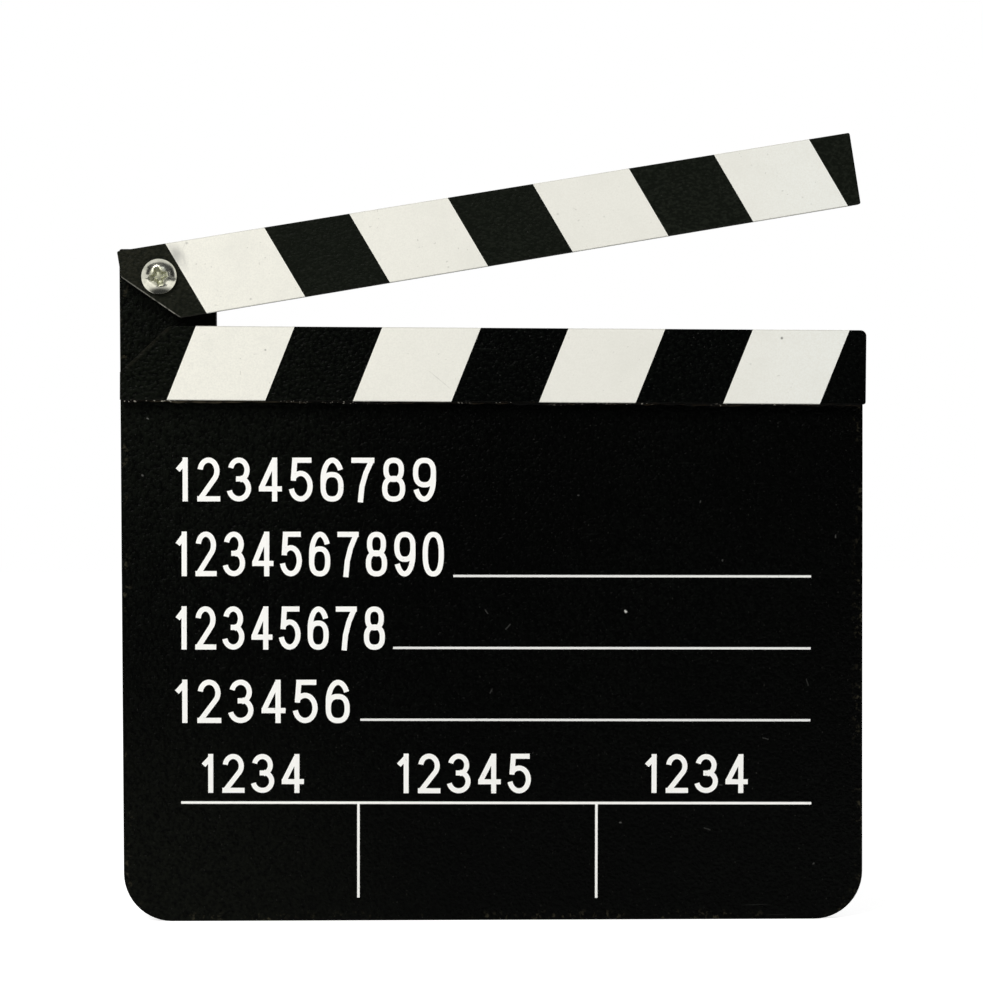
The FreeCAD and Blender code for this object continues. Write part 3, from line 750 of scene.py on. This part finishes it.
# middle lines of each digit's strokes in a unit box; an end is flat, or square and runs on by half a stroke
sixStrokes = [(loop(0.5, 0.315, 0.5, 0.315), "ring"),
              (np.concatenate([arc(0.52, 0.5, 0.52, 0.5, 30, 180), line((0.0, 0.3))]), "flat")]
digitStrokes = {
    "0": [(loop(0.5, 0.5, 0.5, 0.5), "ring")],
    "1": [(line((0.82, 0), (0.82, 1)), "square"), (line((0.8, 0.96), (0.0, 0.74)), "flat")],
    "2": [(np.concatenate([arc(0.49, 0.72, 0.47, 0.28, 172, -40), line((0.05, 0.02))]), "flat"),
          (line((0, 0), (1, 0)), "square")],
    "3": [(arc(0.46, 0.745, 0.46, 0.255, 168, -82), "flat"), (arc(0.46, 0.27, 0.54, 0.27, 82, -168), "flat"),
          (line((0.3, 0.515), (0.62, 0.515)), "flat")],
    "4": [(line((0.74, 0), (0.74, 1)), "square"), (line((0, 0.26), (1, 0.26)), "square"),
          (line((0.7, 0.99), (0.0, 0.29)), "flat")],
    "5": [(line((0.14, 1), (0.93, 1)), "square"), (line((0.14, 1), (0.06, 0.47)), "flat"),
          (arc(0.47, 0.33, 0.53, 0.33, 146, -168), "flat")],
    "6": sixStrokes,
    "7": [(line((0, 1), (1, 1)), "square"),
          (line((0.98, 0.98), (0.66, 0.66), (0.45, 0.32), (0.36, -0.085)), "flat")],
    "8": [(loop(0.5, 0.755, 0.43, 0.245), "ring"), (loop(0.5, 0.265, 0.5, 0.265), "ring")],
    "9": [(1 - path, ending) for path, ending in sixStrokes],
}


def ribbon(path, half, ending):
    # both sides of a path: each point moved out along the mean of its two neighbouring normals, more at bends
    if ending == "square":
        ends = np.array([path[0] - path[1], path[-1] - path[-2]])
        path = path.copy()
        path[[0, -1]] += ends / np.linalg.norm(ends, axis=1)[:, None] * half
    steps = np.roll(path, -1, axis=0) - path
    if ending != "ring":
        steps[-1] = steps[-2]
    steps /= np.linalg.norm(steps, axis=1)[:, None]
    before = np.roll(steps, 1, axis=0)
    if ending != "ring":
        before[0] = steps[0]
    normals = np.stack([-(steps + before)[:, 1], (steps + before)[:, 0]], 1)
    normals /= (1 + (steps * before).sum(1))[:, None]
    return path + half * normals, path - half * normals


def strokeRings(path, ending, layer, left, bottom, width, height, stroke):
    # a flat rectangle swept along the stroke, turned with the print about the slate's bottom middle
    half = stroke / 2
    placed = np.array((left + half, bottom + half)) + path * np.array((width - stroke, height - stroke))
    one, other = ribbon(placed, half, ending)
    flat = np.stack([one, other, other, one], axis=1) * mm
    turn = math.radians(digitPrint["tilt"])
    x = flat[..., 0] * math.cos(turn) + flat[..., 1] * math.sin(turn)
    z = flat[..., 1] * math.cos(turn) - flat[..., 0] * math.sin(turn)
    # strokes that cross lie at slightly different depths
    front = slateFront - digitPrint["ink"] + layer * digitPrint["layer"]
    y = np.array([front, front, slateFront, slateFront]) + 0 * x
    return np.stack([x, y, z], axis=-1)


def printDigits(name, digits, left, right, bottom, top, stroke):
    shares = [digitPrint["slim"] if digit == "1" else 1.0 for digit in digits]
    width = (right - left) / (sum(shares) + digitPrint["gap"] * (len(digits) - 1))
    allPoints, allFaces, pen = [], [], left
    for digit, share in zip(digits, shares):
        for layer, (path, ending) in enumerate(digitStrokes[digit]):
            rings = strokeRings(path, ending, layer, pen, bottom, width * share, top - bottom, stroke)
            points, faces = tube(rings, ending == "ring")
            base = sum(len(part) for part in allPoints)
            allFaces += [[corner + base for corner in face] for face in faces]
            allPoints.append(points)
        pen += width * (share + digitPrint["gap"])
    points = np.concatenate(allPoints)
    return newPiece("digits_" + name, points, allFaces, slatePrint, "slate", smooth=False)


for name, row in digitPrint["rows"].items():
    printDigits(name, *row)
print("digits printed:", len(digitPrint["rows"]), "rows")


# stage: pale floor, white surroundings, a large key at the left, a weak fill, and cards for mirror rays alone
# that paint reflections: dark ones in the black paint and the screw, and a bright glint in the screw
stage = {
    "floor": 3.0, "floorTone": 0.86, "floorRough": 0.9, "floorLift": 0.7,
    "ambient": 0.4, "white": (1, 1, 1, 1),
    "key": {"at": (-0.5, -1.15, 1.0), "size": 0.24, "height": 0.8, "power": 13.9, "mirrored": True},
    "fill": {"at": (1.1, -1.2, 0.5), "size": 0.8, "height": 0.8, "power": 1.6, "mirrored": False},
    "lampTone": (1.0, 0.985, 0.955), "target": (0.0, 0.0, 0.1),
    "cardTone": (0.004, 0.004, 0.004, 1), "cardGlow": (0.92, 0.96, 1.0, 1),
    # strength of the glow, and corners, of each card; the one on the floor leaves bright ground at both sides
    "cards": {
        "frontCard": (0.09, [(-2, -2, 0), (2, -2, 0), (2, -2, 2.4), (-2, -2, 2.4)]),
        "topCard": (0.09, [(-2, -2, 1.5), (2, -2, 1.5), (2, -0.5, 1.5), (-2, -0.5, 1.5)]),
        "floorCard": (0.09, [(x, y, 0.3 * mm) for x, y in (
            (-2, -2), (2, -2), (2, -0.16), (0.4, -0.16), (0.4, -0.4), (0.06, -0.4), (0.06, -0.16),
            (-0.15, -0.16), (-0.15, -0.5), (-2, -0.5))]),
        "leftCard": (0.03, [(-1.2, -1.6, 0.35), (-1.2, -0.5, 0.35), (-1.2, -0.5, 1.7), (-1.2, -1.6, 1.7)]),
        "rightCard": (0.03, [(1.4, -1.3, 0.1), (1.4, -0.45, 0.1), (1.4, -0.45, 1.3), (1.4, -1.3, 1.3)]),
        # a glowing card that paints a bright glint into the screw
        "glintCard": (3.0, [(0.03, -1.0, 0.8), (0.37, -1.0, 0.8), (0.37, -1.0, 1.12), (0.03, -1.0, 1.12)]),
    },
    # half an oval of dark card under the screw's head, a painted dark reflection in it, dense in this share
    # of it and thinning out beyond
    "underCard": {"height": 0.145, "glow": 0.06, "half": (0.034, 0.034), "dense": 0.42, "back": 0.2 * mm},
}


def seenDirectly(tree):  # camera, mirror and glass rays see the plain white
    path = add(tree, "LightPath")
    mirrored = calc(tree, "MAXIMUM", path.outputs["Is Glossy Ray"], path.outputs["Is Transmission Ray"])
    return calc(tree, "MAXIMUM", path.outputs["Is Camera Ray"], mirrored)


def makeWorld():
    world = bpy.data.worlds.new("whiteRoom")
    bpy.context.scene.world = world
    world.use_nodes = True
    tree = world.node_tree
    tree.nodes.clear()
    soft = add(tree, "Background", {"Color": stage["white"], "Strength": stage["ambient"]})
    white = add(tree, "Background", {"Color": stage["white"], "Strength": 1.0})
    mix = add(tree, "MixShader", {0: seenDirectly(tree), 1: soft.outputs[0], 2: white.outputs[0]})
    add(tree, "OutputWorld", {0: mix.outputs[0]})


def stageSheet(name, corners, material):
    mesh = bpy.data.meshes.new(name)
    mesh.from_pydata(corners, [], [range(len(corners))])
    mesh.materials.append(material)
    sheet = bpy.data.objects.new(name, mesh)
    bpy.context.scene.collection.objects.link(sheet)
    return sheet


def makeFloor():
    half, tone = stage["floor"] / 2, stage["floorTone"]
    material, tree, shader, _ = startFinish("paleFloor")
    shader.inputs["Base Color"].default_value = (tone, tone, tone, 1)
    shader.inputs["Roughness"].default_value = stage["floorRough"]
    shader.inputs["Specular IOR Level"].default_value = 0.0
    shader.inputs["Emission Color"].default_value = stage["white"]
    feed(tree, shader.inputs["Emission Strength"], times(tree, seenDirectly(tree), stage["floorLift"]))
    stageSheet("floor", [(-half, -half, 0), (half, -half, 0), (half, half, 0), (-half, half, 0)], material)


def makeCard(name, glow, corners):
    material, tree, shader, spot = startFinish(name)
    shader.inputs["Base Color"].default_value = stage["cardTone"]
    shader.inputs["Roughness"].default_value = 1.0
    shader.inputs["Specular IOR Level"].default_value = 0.0
    shader.inputs["Emission Color"].default_value = stage["cardGlow"]
    shader.inputs["Emission Strength"].default_value = glow
    card = stageSheet(name, corners, material)
    card.visible_camera = False
    card.visible_diffuse = False
    card.visible_shadow = False
    card.visible_transmission = False
    return tree, shader, spot


def makeUnderCard():
    settings = stage["underCard"]
    halfX, halfY = settings["half"]
    back, height = swingFront - settings["back"], settings["height"]
    tree, shader, spot = makeCard("underCard", settings["glow"], [
        (pivotX - halfX, back - halfY, height), (pivotX + halfX, back - halfY, height),
        (pivotX + halfX, back, height), (pivotX - halfX, back, height)])
    aside = calc(tree, "DIVIDE", along(tree, spot, (1, 0, 0), (pivotX, 0, 0)), halfX)
    ahead = calc(tree, "DIVIDE", along(tree, spot, (0, 1, 0), (0, back, 0)), halfY)
    feed(tree, shader.inputs["Alpha"], step(tree, hypotenuse(tree, aside, ahead), 1.0, settings["dense"]))


def makeLamp(name):
    settings = stage[name]
    lamp = bpy.data.lights.new(name, "AREA")
    lamp.shape = "RECTANGLE"
    lamp.size = settings["size"]
    lamp.size_y = settings["height"]
    lamp.energy = settings["power"]
    lamp.color = stage["lampTone"]
    holder = bpy.data.objects.new(name, lamp)
    holder.location = settings["at"]
    holder.visible_glossy = settings["mirrored"]
    aim = np.array(stage["target"]) - np.array(settings["at"])
    holder.rotation_euler = (math.acos(-aim[2] / np.linalg.norm(aim)), 0, math.atan2(-aim[0], aim[1]))
    bpy.context.scene.collection.objects.link(holder)


makeWorld()
makeFloor()
for name, card in stage["cards"].items():
    makeCard(name, *card)
makeUnderCard()
makeLamp("key")
makeLamp("fill")

# camera: long lens a metre in front, level with the fixed stick and looking a little down
cameraSet = {
    "at": (-0.003645, -1.0, 0.157717), "yaw": 0.2021, "pitch": -2.3806, "roll": -0.1831, "lens": 135.646,
}
cameraData = bpy.data.cameras.new("camera")
cameraData.lens = cameraSet["lens"]
camera = bpy.data.objects.new("camera", cameraData)
camera.location = cameraSet["at"]
yaw = Matrix.Rotation(math.radians(-cameraSet["yaw"]), 3, "Z")
pitch = Matrix.Rotation(math.radians(90 + cameraSet["pitch"]), 3, "X")
roll = Matrix.Rotation(math.radians(cameraSet["roll"]), 3, "Z")
camera.rotation_euler = (yaw @ pitch @ roll).to_euler()
bpy.context.scene.collection.objects.link(camera)
bpy.context.scene.camera = camera
bpy.context.scene.view_settings.view_transform = "Standard"
print("stage set")
